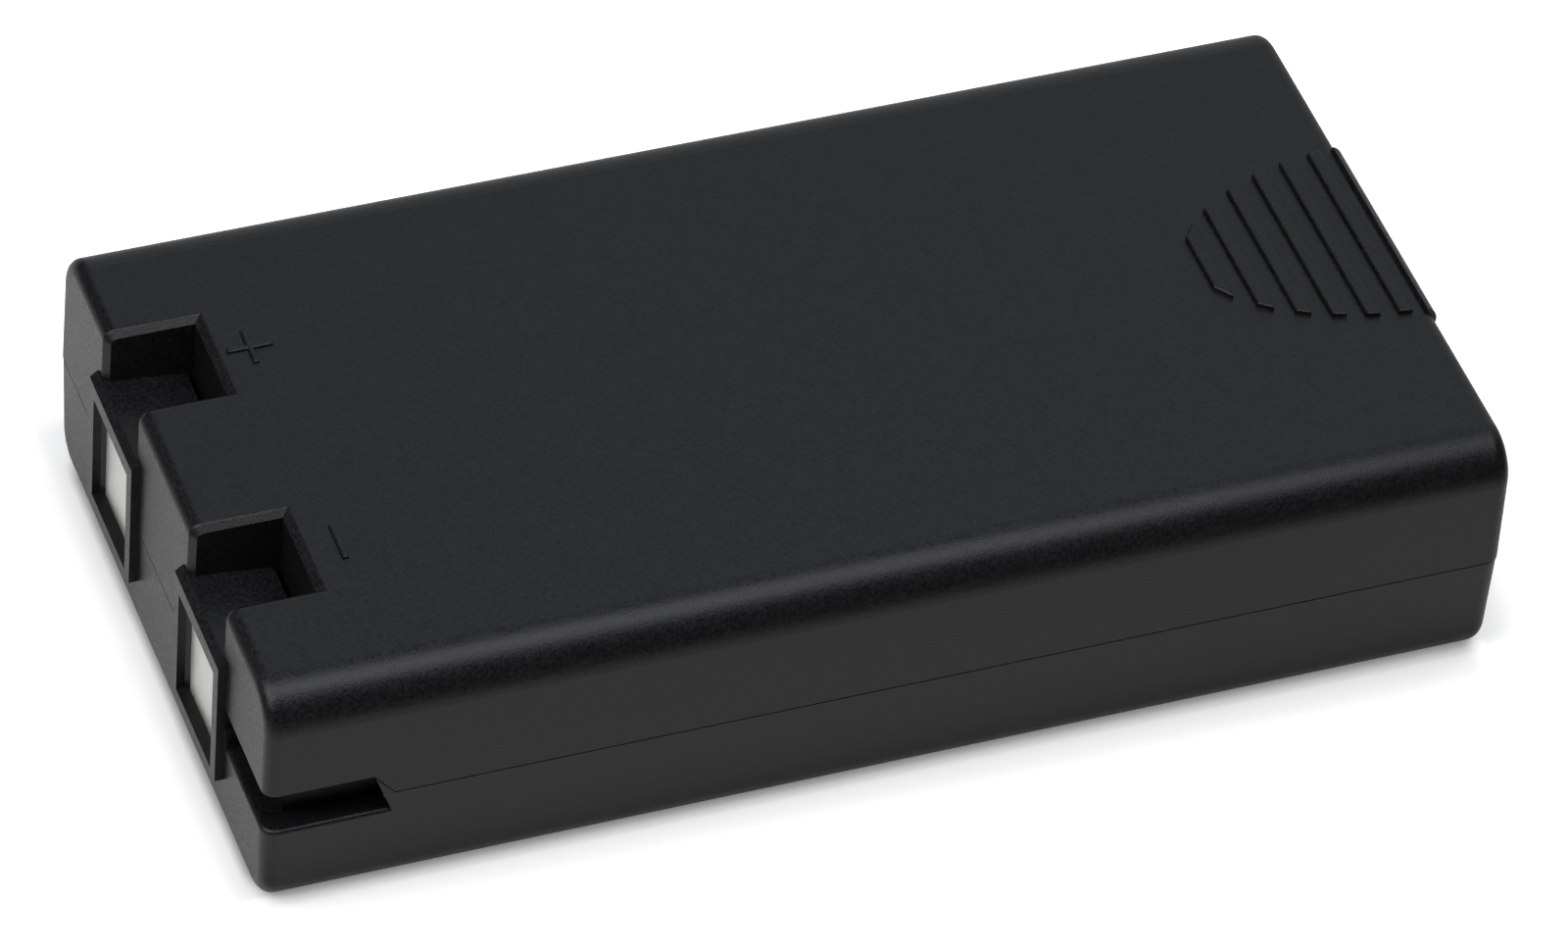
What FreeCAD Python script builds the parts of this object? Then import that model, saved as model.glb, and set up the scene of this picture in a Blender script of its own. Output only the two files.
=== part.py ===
import FreeCAD, Part
import math
import os
import re
import Sketcher

Vector = FreeCAD.Vector
doc = FreeCAD.newDocument("printer_battery")

# Every size of the battery, in millimetres, written once with its name.
sheet = doc.addObject("Spreadsheet::Sheet", "Sizes")
sizes = [
    # Housing: two moulded halves that meet at the parting height.
    ("body_length", 104.0), ("body_width", 55.0), ("body_height", 22.4), ("parting_height", 10.45),
    ("upper_draft", 0.14), ("lower_draft", 0.18), ("wall_thickness", 1.5),
    ("top_side_radius", 3.7), ("bottom_side_radius", 3.1),
    ("end_edge_radius", 1.1), ("foot_edge_radius", 1.3),
    ("tongue_height", 1.0), ("tongue_thickness", 0.7), ("joint_clearance", 0.1), ("parting_bevel", 0.06),
    # Terminal end: notches, frames with windows, and the shelf over each contact.
    ("terminal_pitch", 23.0), ("notch_width", 9.8), ("notch_reach", 8.2), ("rim_slope", 0.62),
    ("frame_width", 11.4), ("frame_projection", 0.65), ("frame_bottom", 4.7), ("frame_top", 17.0),
    ("shelf_height", 17.5), ("shelf_drop", 0.8), ("shelf_reach", 7.0), ("shelf_thickness", 1.2),
    ("rim_drop", 0.5), ("rim_round", 0.3), ("well_thickness", 1.0),
    ("window_width", 9.0), ("window_bottom", 5.1), ("window_top", 15.55), ("window_depth", 1.05),
    ("ledge_size", 0.35), ("frame_back", 2.1), ("bay_depth", 9.4), ("partition_thickness", 1.2),
    ("contact_thickness", 0.5), ("contact_overlap", 0.7), ("contact_clearance", 0.05),
    ("contact_corner", 0.6), ("tail_width", 6.0), ("tail_landing", 3.5), ("tail_clearance", 0.3),
    # Keying slot round the front corner.
    ("slot_bottom", 8.6), ("slot_top", 12.6), ("slot_depth", 2.2), ("slot_reach", 10.7),
    ("slot_slope", 1.8), ("slot_lean", 1.5), ("slot_lip_round", 0.35),
    ("slot_side_rib", 0.5), ("slot_wall", 1.2),
    # Thumb grip and raised marks on the top.
    ("grip_length", 17.5), ("grip_half_width", 10.1), ("grip_tip", 1.0), ("grip_power", 1.9),
    ("rib_pitch", 2.69), ("rib_width", 1.15), ("rib_height", 0.4), ("rib_round", 0.18),
    ("lip_foot_turn", 15.0), ("lip_head_turn", 68.0),
    ("mark_length", 3.8), ("mark_stroke", 0.52), ("mark_height", 0.22), ("mark_round", 0.2),
    ("mark_inset", 10.75),
    # Cells and the saddles that hold them.
    ("cell_skin_gap", 0.5), ("cell_end_room", 1.2), ("cell_gap", 0.2), ("cell_end_gap", 0.6),
    ("cell_fit", 0.05), ("button_diameter", 8.6), ("button_height", 0.5), ("can_edge", 0.5),
    ("saddle_inset", 8.8), ("saddle_thickness", 1.5), ("saddle_height", 4.5),
    ("washer_margin", 0.6), ("washer_hole_gap", 0.4), ("washer_thickness", 0.2),
    # Nickel strips and the papers under them.
    ("strip_thickness", 0.15), ("link_height", 7.0), ("link_end", 4.5), ("run_height", 2.2),
    ("low_run_margin", 0.65), ("high_run_margin", 1.2), ("paper_thickness", 0.2), ("paper_margin", 0.4),
    ("leg_width", 2.4), ("leg_inset", 2.2), ("foot_reach", 3.4),
    # Protection board on staked bosses, with its parts.
    ("board_room", 17.1), ("board_end_gap", 0.8), ("board_cell_gap", 1.9), ("board_side_gap", 0.5),
    ("board_thickness", 1.6), ("boss_diameter", 4.0), ("pin_diameter", 1.6), ("pin_clearance", 0.1),
    ("pin_proud", 0.6), ("pin_inset", 2.3), ("pin_side_inset", 4.8),
    ("chip_stand", 0.1), ("chip_height", 1.5), ("lead_pitch", 1.27), ("lead_width", 0.42),
    ("lead_reach", 1.0), ("lead_thickness", 0.2), ("transistor_length", 4.9), ("transistor_width", 3.9),
    ("transistor_step", 6.3), ("controller_length", 6.5), ("controller_width", 4.4),
    ("controller_place", 2.6), ("chip_offset", 1.2), ("resistor_offset", 4.9),
    ("capacitor_offset", 3.9), ("fuse_offset", 1.0),
    ("resistor_length", 6.4), ("resistor_width", 3.2), ("resistor_height", 0.7), ("block_bevel", 0.15),
    ("fuse_length", 2.7), ("fuse_width", 6.1), ("fuse_height", 1.4), ("capacitor_place", 5.6),
    ("capacitor_length", 1.25), ("capacitor_width", 2.0), ("capacitor_height", 1.2),
    ("bead_diameter", 2.4), ("bead_length", 3.9), ("bead_lead", 0.5),
]
for row, (name, number) in enumerate(sizes, start=1):
    sheet.set("A%d" % row, name)
    sheet.set("B%d" % row, str(number))
    sheet.setAlias("B%d" % row, name)
doc.recompute()

# Sizes that follow from the others. The cells fill the room that the housing leaves them.
row_room = "(body_length - bay_depth - partition_thickness - board_room - wall_thickness - cell_end_gap)"
height_room = "(body_height - 2 * wall_thickness - 2 * cell_skin_gap)"
followers = [
    ("pin_spread", "(board_width - 2 * pin_side_inset)"),
    ("board_width", "(cell_length - 2 * board_side_gap)"),
    ("board_length", "(cells_start - board_cell_gap - board_front + body_length / 2)"),
    ("board_front", "(bay_depth + partition_thickness + board_end_gap)"),
    ("cells_start", "(body_length / 2 - wall_thickness - cell_end_gap - 4 * cell_diameter - 3 * cell_gap)"),
    ("saddle_spacing", "(cell_length - 2 * saddle_inset)"),
    ("washer_outer", "(cell_diameter - 2 * washer_margin)"),
    ("washer_hole", "(button_diameter + 2 * washer_hole_gap)"),
    ("low_run_bottom", "(body_height / 2 - cell_diameter / 2 + low_run_margin)"),
    ("high_run_bottom", "(body_height / 2 + cell_diameter / 2 - high_run_margin - run_height)"),
    ("cell_length", "(body_width - 2 * wall_thickness - 2 * cell_end_room)"),
    ("cell_diameter", "min(" + height_room + "; (" + row_room + " - 3 * cell_gap) / 4)"),
]
words = sorted((name for name, number in sizes), key=len, reverse=True)
size_word = re.compile(r"\b(" + "|".join(words) + r")\b")


def bound(text):
    """An expression in which each size name points at its sheet cell."""
    for name, meaning in followers:
        text = re.sub(r"\b" + name + r"\b", meaning, text)
    return size_word.sub(r"Sizes.\1", text)


def worth(text):
    return float(sheet.evalExpression(bound(text)))


def add_body(name):
    body = doc.addObject("PartDesign::Body", name)
    body.Label = name
    return body


def origin_item(body, role):
    return [item for item in body.Origin.OriginFeatures if item.Role == role][0]


def add_sketch(body, name, plane, offset="0"):
    sketch = body.newObject("Sketcher::SketchObject", name)
    sketch.AttachmentSupport = [(origin_item(body, plane), "")]
    sketch.MapMode = "FlatFace"
    sketch.setExpression("AttachmentOffset.Base.z", bound(offset))
    return sketch


def fix_point(sketch, item, spot, across, up):
    """Hold a point of the sketch at two expressions, measured from the origin."""
    for kind, text in (("DistanceX", across), ("DistanceY", up)):
        row = sketch.addConstraint(Sketcher.Constraint(kind, -1, 1, item, spot, worth(text)))
        sketch.setExpression("Constraints[%d]" % row, bound(text))


def outline(sketch, points):
    """A closed outline of straight edges through the given points."""
    first = sketch.GeometryCount
    spots = [Vector(worth(across), worth(up), 0) for across, up in points]
    count = len(points)
    for index in range(count):
        sketch.addGeometry(Part.LineSegment(spots[index], spots[(index + 1) % count]))
    for index in range(count):
        follow = first + (index + 1) % count
        sketch.addConstraint(Sketcher.Constraint("Coincident", first + index, 2, follow, 1))
    for index, (across, up) in enumerate(points):
        fix_point(sketch, first + index, 1, across, up)


def rectangle(sketch, left, right, low, high):
    outline(sketch, [(left, low), (right, low), (right, high), (left, high)])


def circle(sketch, across, up, radius):
    middle = Vector(worth(across), worth(up), 0)
    item = sketch.addGeometry(Part.Circle(middle, Vector(0, 0, 1), worth(radius)))
    fix_point(sketch, item, 3, across, up)
    row = sketch.addConstraint(Sketcher.Constraint("Radius", item, worth(radius)))
    sketch.setExpression("Constraints[%d]" % row, bound(radius))


def extrude(body, kind, name, sketch, length, both=False, turned=False):
    """A pad or a pocket of the sketch, one way or to both sides."""
    item = body.newObject("PartDesign::" + kind, name)
    item.Profile = sketch
    item.setExpression("Length", bound(length))
    if both:
        item.SideType = "Symmetric"
    item.Reversed = turned
    sketch.Visibility = False
    doc.recompute()
    return item


def dress(body, kind, name, setting, size, chosen):
    """A fillet or a chamfer on the edges that the test picks out."""
    base = body.Tip
    edges = base.Shape.Edges
    picked = ["Edge%d" % number for number, edge in enumerate(edges, start=1) if chosen(edge)]
    item = body.newObject("PartDesign::" + kind, name)
    item.Base = (base, picked)
    item.setExpression(setting, bound(size))
    doc.recompute()
    return item


def near(first, second):
    return abs(first - second) < 0.02


# Places that several pieces share.
west = "-body_length / 2"
east = "body_length / 2"
south = "-body_width / 2"
frame_face = west + " - frame_projection"
contact_face = frame_face + " + window_depth"
tail_end = west + " + board_front + tail_landing"
board_bottom = "(window_bottom - board_thickness)"
cell_step = "(cell_diameter + cell_gap)"
cell_level = "body_height / 2"
cell_places = []
for index in range(4):
    back = "(cell_end_gap + cell_diameter / 2 + %d * %s)" % (3 - index, cell_step)
    cell_places.append(east + " - wall_thickness - " + back)
half_length = worth(east)
inner_side = "body_width / 2 - wall_thickness"


def end_edges(edge):
    """Edges round the two end faces, without the ones on the parting plane."""
    box = edge.BoundBox
    at_end = min(abs(box.XMin), abs(box.XMax)) > half_length - 0.4 and box.XLength < 1
    flat = near(box.ZMin, worth("parting_height")) and near(box.ZMax, worth("parting_height"))
    return at_end and not flat


def half_housing(body, level, draft, side_radius, end_radius):
    """One half of the housing: drafted block with rounded edges, hollowed to the wall."""
    upper = level == "body_height"
    sign = "+" if upper else "-"
    section = add_sketch(body, body.Name + "_section", "YZ_Plane")
    corner = "body_width / 2 - " + draft
    outline(section, [(south, "parting_height"), ("body_width / 2", "parting_height"),
                      (corner, level), ("-(" + corner + ")", level)])
    extrude(body, "Pad", body.Name + "_block", section, "body_length", both=True)
    taper = add_sketch(body, body.Name + "_end_taper", "XZ_Plane")
    for side in ("-1 * ", "1 * "):
        past = level + " " + sign + " 1"
        outline(taper, [(side + "(body_length / 2 + 1)", "parting_height"),
                        (side + "body_length / 2", "parting_height"),
                        (side + "(body_length / 2 - " + draft + ")", level),
                        (side + "(body_length / 2 - " + draft + ")", past),
                        (side + "(body_length / 2 + 1)", past)])
    extrude(body, "Pocket", body.Name + "_end_draft", taper, "body_width + 2", both=True)
    flat = worth(level)
    dress(body, "Fillet", body.Name + "_long_edges", "Radius", side_radius,
          lambda edge: edge.BoundBox.XLength > half_length and near(edge.BoundBox.ZMin, flat))
    dress(body, "Fillet", body.Name + "_end_edges", "Radius", end_radius, end_edges)
    joint = worth("parting_height")
    dress(body, "Chamfer", body.Name + "_parting_bevel", "Size", "parting_bevel",
          lambda edge: near(edge.BoundBox.ZMin, joint) and near(edge.BoundBox.ZMax, joint))
    inner = "wall_thickness" if not upper else "(body_height - wall_thickness)"
    hollow = add_sketch(body, body.Name + "_hollow_section", "YZ_Plane")
    inner_corner = inner_side + " - " + draft
    outline(hollow, [("-(" + inner_side + ")", "parting_height"), (inner_side, "parting_height"),
                     (inner_corner, inner), ("-(" + inner_corner + ")", inner)])
    extrude(body, "Pocket", body.Name + "_hollow", hollow, "body_length - 2 * wall_thickness", both=True)
    floor = worth(inner)
    dress(body, "Fillet", body.Name + "_hollow_edges", "Radius", side_radius + " - wall_thickness",
          lambda edge: edge.BoundBox.XLength > half_length and near(edge.BoundBox.ZMin, floor)
          and near(edge.BoundBox.ZMax, floor))
    return inner


def saddles(body, low, high):
    """Two ribs along the row of cells, scooped out to the cans."""
    for side, turn in (("front", "saddle_spacing / 2"), ("back", "-saddle_spacing / 2")):
        rib = add_sketch(body, body.Name + "_saddle_" + side, "XZ_Plane", turn)
        rectangle(rib, "cells_start - saddle_thickness", east + " - wall_thickness / 2", low, high)
        extrude(body, "Pad", body.Name + "_saddle_rib_" + side, rib, "saddle_thickness", both=True)
    scoop = add_sketch(body, body.Name + "_scoops", "XZ_Plane")
    circle(scoop, cell_places[0], cell_level, "cell_diameter / 2 + cell_fit")
    cut = extrude(body, "Pocket", body.Name + "_scoop", scoop, "saddle_spacing + 4 * saddle_thickness",
                  both=True)
    row = body.newObject("PartDesign::LinearPattern", body.Name + "_scoop_row")
    row.Originals = [cut]
    row.Direction = (origin_item(body, "X_Axis"), [""])
    row.setExpression("Length", bound("3 * " + cell_step))
    row.Occurrences = 4
    body.Tip = row
    doc.recompute()


def partition(body, foot, head, corner):
    """Wall between the terminal bay and the board, let a little way into the skin."""
    plate = add_sketch(body, body.Name + "_partition", "YZ_Plane", west + " + bay_depth")
    side = "(body_width / 2 - 0.8 * wall_thickness)"
    outline(plate, [("-1 * " + side, foot), (side, foot), (side, head + corner),
                    (side + " - wall_thickness", head), ("wall_thickness - " + side, head),
                    ("-1 * " + side, head + corner)])
    extrude(body, "Pad", body.Name + "_partition_wall", plate, "partition_thickness")


def slot_block(body, start, length):
    """Thick corner into which the keying slot is cut."""
    block = add_sketch(body, body.Name + "_slot_block", "XY_Plane", start)
    skin_x = west + " + 0.5 * wall_thickness"
    skin_y = south + " + 0.5 * wall_thickness"
    deep_x = west + " + slot_depth + slot_wall"
    deep_y = south + " + slot_depth + slot_wall"
    far_x = west + " + slot_reach + slot_wall"
    far_y = "-terminal_pitch / 2 - frame_width / 2 + 1"
    outline(block, [(skin_x, skin_y), (far_x, skin_y), (far_x, deep_y), (deep_x, deep_y),
                    (deep_x, far_y), (skin_x, far_y)])
    extrude(body, "Pad", body.Name + "_slot_corner", block, length)


def window_outline(sketch, side):
    """Plan of a terminal window: mouth, retaining ledges, slot for the plate and way to the back."""
    middle = side + " * terminal_pitch / 2"
    mouth = "window_width / 2"
    throat = "(window_width / 2 - ledge_size)"
    plate = "(window_width / 2 + contact_overlap)"
    slot_back = contact_face + " + contact_thickness + contact_clearance"
    steps = [(frame_face + " - 1", mouth), (contact_face + " - ledge_size", mouth), (contact_face, throat),
             (contact_face, plate), (slot_back, plate), (slot_back, throat),
             (west + " + frame_back + 1", throat)]
    right = [(across, middle + " - " + half) for across, half in steps]
    left = [(across, middle + " + " + half) for across, half in reversed(steps)]
    outline(sketch, right + left)


# Upper shell.
upper = add_body("upper_shell")
ceiling = half_housing(upper, "body_height", "upper_draft", "top_side_radius", "end_edge_radius")
partition(upper, "parting_height", ceiling + " + 0.2 * wall_thickness", " - wall_thickness")
saddles(upper, ceiling + " - saddle_height", ceiling + " + 0.5 * wall_thickness")

# Notches over the contacts. Each is a well with its own walls, which stand on the shelf, and a
# bevel runs along its rim and down the edges of the end wall.
notch_half = "(notch_width / 2 - rim_slope)"
notch_end = west + " + notch_reach - rim_slope"
well = add_sketch(upper, "well_plan", "XY_Plane", "body_height - 0.5 * wall_thickness")
notch = add_sketch(upper, "notch_plan", "XY_Plane", "body_height")
for side in ("-1", "1"):
    middle = side + " * terminal_pitch / 2"
    rectangle(well, west + " + 0.5 * wall_thickness", notch_end + " + well_thickness",
              middle + " - " + notch_half + " - well_thickness",
              middle + " + " + notch_half + " + well_thickness")
    rectangle(notch, west + " - 2", notch_end, middle + " - " + notch_half, middle + " + " + notch_half)
well_floor = "(shelf_height - shelf_drop - shelf_thickness)"
extrude(upper, "Pad", "well_walls", well, "body_height - 0.5 * wall_thickness - " + well_floor, turned=True)
extrude(upper, "Pocket", "notch", notch, "body_height - " + well_floor + " + 0.5")
roof = worth("body_height")
back_wall = worth(notch_end)
end_skin = worth(west + " + end_edge_radius + upper_draft")
side_walls = [worth("%s * terminal_pitch / 2 %s %s" % (side, way, notch_half))
              for side in ("-1", "1") for way in ("-", "+")]


def notch_rim(edge):
    """Outer edges of a notch's walls: along the roof, round the end edge and down the end."""
    box = edge.BoundBox
    on_roof = near(box.ZMin, roof)
    on_side = near(box.YMin, box.YMax) and any(near(box.YMin, wall) for wall in side_walls)
    on_back = on_roof and near(box.XMin, back_wall) and near(box.XMax, back_wall)
    return on_back or (on_side and (on_roof or box.XMax < end_skin + 0.05))


rim = dress(upper, "Chamfer", "notch_rims", "Size", "rim_slope", notch_rim)
rim.ChamferType = "Two distances"
rim.setExpression("Size2", bound("rim_drop"))
doc.recompute()
rim_ends = [worth("%s * terminal_pitch / 2 %s notch_width / 2" % (side, way))
            for side in ("-1", "1") for way in ("-", "+")]
rim_back = worth(west + " + notch_reach")


def rim_line(edge):
    """Lines where the bevels of the notches meet the roof."""
    box = edge.BoundBox
    along = near(box.YMin, box.YMax) and any(near(box.YMin, line) for line in rim_ends)
    across = near(box.XMin, rim_back) and near(box.XMax, rim_back)
    return near(box.ZMin, roof) and near(box.ZMax, roof) and (along or across)


dress(upper, "Fillet", "rim_rounds", "Radius", "rim_round", rim_line)

for turn, name in (("terminal_pitch / 2", "negative"), ("-terminal_pitch / 2", "positive")):
    hood = add_sketch(upper, name + "_hood_side", "XZ_Plane", turn)
    shelf_end = west + " + shelf_reach"
    shelf_low = "shelf_height - shelf_drop"
    outline(hood, [(frame_face, "parting_height"), (frame_face, "frame_top"), (west, "shelf_height"),
                   (shelf_end, shelf_low), (shelf_end, shelf_low + " - shelf_thickness"),
                   (west + " + frame_back", shelf_low + " - shelf_thickness"),
                   (west + " + frame_back", "parting_height")])
    extrude(upper, "Pad", name + "_hood", hood, "frame_width", both=True)

slot_block(upper, "parting_height", "slot_top + slot_wall - parting_height")
slot_front = add_sketch(upper, "upper_slot_front", "XZ_Plane", "body_width / 2 - slot_depth")
slot_low = "parting_height - 0.5"
outline(slot_front, [(west + " - 2", slot_low), (west + " + slot_reach", slot_low),
                     (west + " + slot_reach", "parting_height"),
                     (west + " + slot_reach - slot_slope", "slot_top"), (west + " - 2", "slot_top")])
extrude(upper, "Pocket", "upper_slot_along_front", slot_front, "slot_depth + 2", turned=True)
slot_end = add_sketch(upper, "upper_slot_end", "YZ_Plane", west + " + slot_depth")
rectangle(slot_end, south + " - 2", "-terminal_pitch / 2 - frame_width / 2", slot_low, "slot_top")
extrude(upper, "Pocket", "upper_slot_along_end", slot_end, "slot_depth + 2")

joint = add_sketch(upper, "tongue_rebate_plan", "XY_Plane", "parting_height")
outer_in = "(wall_thickness - tongue_thickness - joint_clearance)"
inner_in = "(wall_thickness + joint_clearance)"
for inset in (outer_in, inner_in):
    rectangle(joint, west + " + " + inset, east + " - " + inset, south + " + " + inset,
              "body_width / 2 - " + inset)
extrude(upper, "Pocket", "tongue_rebate", joint, "tongue_height + joint_clearance", turned=True)

windows = add_sketch(upper, "upper_window_plan", "XY_Plane", "parting_height")
window_outline(windows, "-1")
window_outline(windows, "1")
extrude(upper, "Pocket", "upper_windows", windows, "window_top - parting_height", turned=True)

# Thumb grip: raised ribs whose ends follow half an oval, and a lip over the end edge.
grip_side = "grip_half_width * (1 - (%s / grip_length) ^ grip_power) ^ (1 / grip_power)"
ribs = add_sketch(upper, "grip_rib_plan", "XY_Plane", "body_height")
for index in range(6):
    reach = "(grip_length - grip_tip - %d * rib_pitch)" % index
    after = "(grip_length - grip_tip - %d * rib_pitch - rib_width)" % index
    half = grip_side % reach
    half_after = grip_side % after
    outline(ribs, [(east + " - " + reach, "-1 * " + half), (east + " - " + after, "-1 * " + half_after),
                   (east + " - " + after, half_after), (east + " - " + reach, half)])
extrude(upper, "Pad", "grip_ribs", ribs, "rib_height")
crest = worth("body_height + rib_height")
dress(upper, "Fillet", "grip_rib_rounds", "Radius", "rib_round",
      lambda edge: near(edge.BoundBox.ZMin, crest) and near(edge.BoundBox.ZMax, crest))

lip = add_sketch(upper, "grip_lip_side", "XZ_Plane")
turn_x = "(body_length / 2 - upper_draft - end_edge_radius)"
turn_z = "(body_height - end_edge_radius)"
bow = "(end_edge_radius + rib_height)"
dip = "(0.5 * end_edge_radius)"
lip_foot = math.radians(worth("lip_foot_turn"))
lip_head = math.radians(worth("lip_head_turn"))
middle = Vector(worth(turn_x), worth(turn_z), 0)
for radius in (bow, dip):
    ring = Part.Circle(middle, Vector(0, 0, 1), worth(radius))
    arc = lip.addGeometry(Part.ArcOfCircle(ring, -lip_foot, lip_head))
    if radius == bow:
        fix_point(lip, arc, 3, turn_x, turn_z)
    else:
        lip.addConstraint(Sketcher.Constraint("Coincident", arc, 3, 0, 3))
    row = lip.addConstraint(Sketcher.Constraint("Radius", arc, worth(radius)))
    lip.setExpression("Constraints[%d]" % row, bound(radius))
    low_end = turn_z + " - sin(lip_foot_turn) * " + radius
    row = lip.addConstraint(Sketcher.Constraint("DistanceY", -1, 1, arc, 1, worth(low_end)))
    lip.setExpression("Constraints[%d]" % row, bound(low_end))
    top_end = turn_x + " + cos(lip_head_turn) * " + radius
    row = lip.addConstraint(Sketcher.Constraint("DistanceX", -1, 1, arc, 2, worth(top_end)))
    lip.setExpression("Constraints[%d]" % row, bound(top_end))
for spot in (1, 2):
    start = lip.getPoint(0, spot)
    finish = lip.getPoint(1, spot)
    line = lip.addGeometry(Part.LineSegment(start, finish))
    lip.addConstraint(Sketcher.Constraint("Coincident", line, 1, 0, spot))
    lip.addConstraint(Sketcher.Constraint("Coincident", line, 2, 1, spot))
extrude(upper, "Pad", "grip_lip", lip, "2 * grip_half_width", both=True)

marks = add_sketch(upper, "polarity_mark_plan", "XY_Plane", "body_height")
mark_x = "(mark_inset - body_length / 2)"
arm = "mark_length / 2"
stroke = "mark_stroke / 2"
plus_y = "terminal_pitch / 2"
corners = [("-", arm, "-", stroke), ("-", stroke, "-", stroke), ("-", stroke, "-", arm),
           ("+", stroke, "-", arm), ("+", stroke, "-", stroke), ("+", arm, "-", stroke),
           ("+", arm, "+", stroke), ("+", stroke, "+", stroke), ("+", stroke, "+", arm),
           ("-", stroke, "+", arm), ("-", stroke, "+", stroke), ("-", arm, "+", stroke)]
outline(marks, [(mark_x + " " + a + " " + b, plus_y + " " + c + " " + d) for a, b, c, d in corners])
rectangle(marks, mark_x + " - " + stroke, mark_x + " + " + stroke, "-terminal_pitch / 2 - " + arm,
          "-terminal_pitch / 2 + " + arm)
extrude(upper, "Pad", "polarity_marks", marks, "mark_height")
mark_top = worth("body_height + mark_height")
mark_limit = worth(mark_x + " + mark_length")
dress(upper, "Fillet", "polarity_mark_rounds", "Radius", "mark_round",
      lambda edge: near(edge.BoundBox.ZMin, mark_top) and near(edge.BoundBox.ZMax, mark_top)
      and edge.BoundBox.XMax < mark_limit)

# Lower shell.
lower = add_body("lower_shell")
half_housing(lower, "0", "lower_draft", "bottom_side_radius", "foot_edge_radius")
partition(lower, "parting_height", "0.8 * wall_thickness", " + wall_thickness")
saddles(lower, "0.5 * wall_thickness", "wall_thickness + saddle_height")

tongue = add_sketch(lower, "tongue_plan", "XY_Plane", "parting_height - tongue_height")
for inset in ("(wall_thickness - tongue_thickness)", "wall_thickness"):
    rectangle(tongue, west + " + " + inset, east + " - " + inset, south + " + " + inset,
              "body_width / 2 - " + inset)
extrude(lower, "Pad", "tongue", tongue, "2 * tongue_height")

for turn, name in (("terminal_pitch / 2", "negative"), ("-terminal_pitch / 2", "positive")):
    front = add_sketch(lower, name + "_frame_side", "XZ_Plane", turn)
    outline(front, [(frame_face, "frame_bottom"), (frame_face, "parting_height"),
                    (west + " + frame_back", "parting_height"),
                    (west + " + frame_back", "0.5 * wall_thickness"),
                    (west + " + 0.5 * wall_thickness", "0.5 * wall_thickness"),
                    (west + " + 0.5 * wall_thickness", "frame_bottom")])
    extrude(lower, "Pad", name + "_frame", front, "frame_width", both=True)

slot_block(lower, "slot_bottom - slot_wall", "parting_height - slot_bottom + slot_wall")
slot_high = "parting_height + tongue_height + 0.5"
slot_front = add_sketch(lower, "lower_slot_front", "XZ_Plane", "body_width / 2 - slot_depth")
slot_head = west + " + slot_reach - slot_slope"
lean = "slot_lean * (slot_top - %s) / (slot_top - slot_bottom)"
slot_joint = slot_head + " + " + lean % "parting_height"
outline(slot_front, [(west + " - 2", "slot_bottom"), (slot_head + " + slot_lean", "slot_bottom"),
                     (slot_joint, "parting_height"), (slot_joint, slot_high), (west + " - 2", slot_high)])
extrude(lower, "Pocket", "lower_slot_along_front", slot_front, "slot_depth + 2", turned=True)
slot_end = add_sketch(lower, "lower_slot_end", "YZ_Plane", west + " + slot_depth")
rectangle(slot_end, south + " - 2", "-terminal_pitch / 2 - frame_width / 2 - slot_side_rib", "slot_bottom",
          slot_high)
extrude(lower, "Pocket", "lower_slot_along_end", slot_end, "slot_depth + 2")
sill = worth("slot_bottom")
skin_x = worth(west) + 0.3
skin_y = worth(south) + 0.3


def slot_lip(edge):
    """Outer edges of the slot's floor: along the front, round the corner and along the end."""
    box = edge.BoundBox
    outside = box.YMax < skin_y or box.XMax < skin_x or (box.XMin < skin_x and box.YMin < skin_y)
    return near(box.ZMin, sill) and near(box.ZMax, sill) and outside


dress(lower, "Fillet", "slot_lip", "Radius", "slot_lip_round", slot_lip)
wedge = add_sketch(lower, "slot_wedge_side", "XZ_Plane", "body_width / 2 - slot_depth + joint_clearance")
slope_rate = "slot_slope / (slot_top - parting_height)"
lean_rate = "slot_lean / (slot_top - slot_bottom)"
tip_drop = "joint_clearance / (" + slope_rate + " - " + lean_rate + ")"
outline(wedge, [(slot_joint, "parting_height"), (slot_joint, "parting_height - 0.3"),
                (west + " + slot_reach - joint_clearance", "parting_height - 0.3"),
                (west + " + slot_reach - joint_clearance", "parting_height"),
                (slot_head + " + " + lean_rate + " * " + tip_drop, "slot_top - " + tip_drop)])
extrude(lower, "Pad", "slot_wedge", wedge, "slot_depth - joint_clearance")

windows = add_sketch(lower, "lower_window_plan", "XY_Plane", "window_bottom")
window_outline(windows, "-1")
window_outline(windows, "1")
extrude(lower, "Pocket", "lower_windows", windows, "parting_height + tongue_height + 0.5 - window_bottom",
        turned=True)

tail_way = add_sketch(lower, "tail_way_section", "YZ_Plane", west + " + bay_depth - 0.5")
for side in ("-1", "1"):
    middle = side + " * terminal_pitch / 2"
    rectangle(tail_way, middle + " - tail_width / 2 - tail_clearance",
              middle + " + tail_width / 2 + tail_clearance", "window_bottom - tail_clearance",
              "window_bottom + contact_thickness + tail_clearance")
extrude(lower, "Pocket", "tail_ways", tail_way, "partition_thickness + 1", turned=True)

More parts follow.
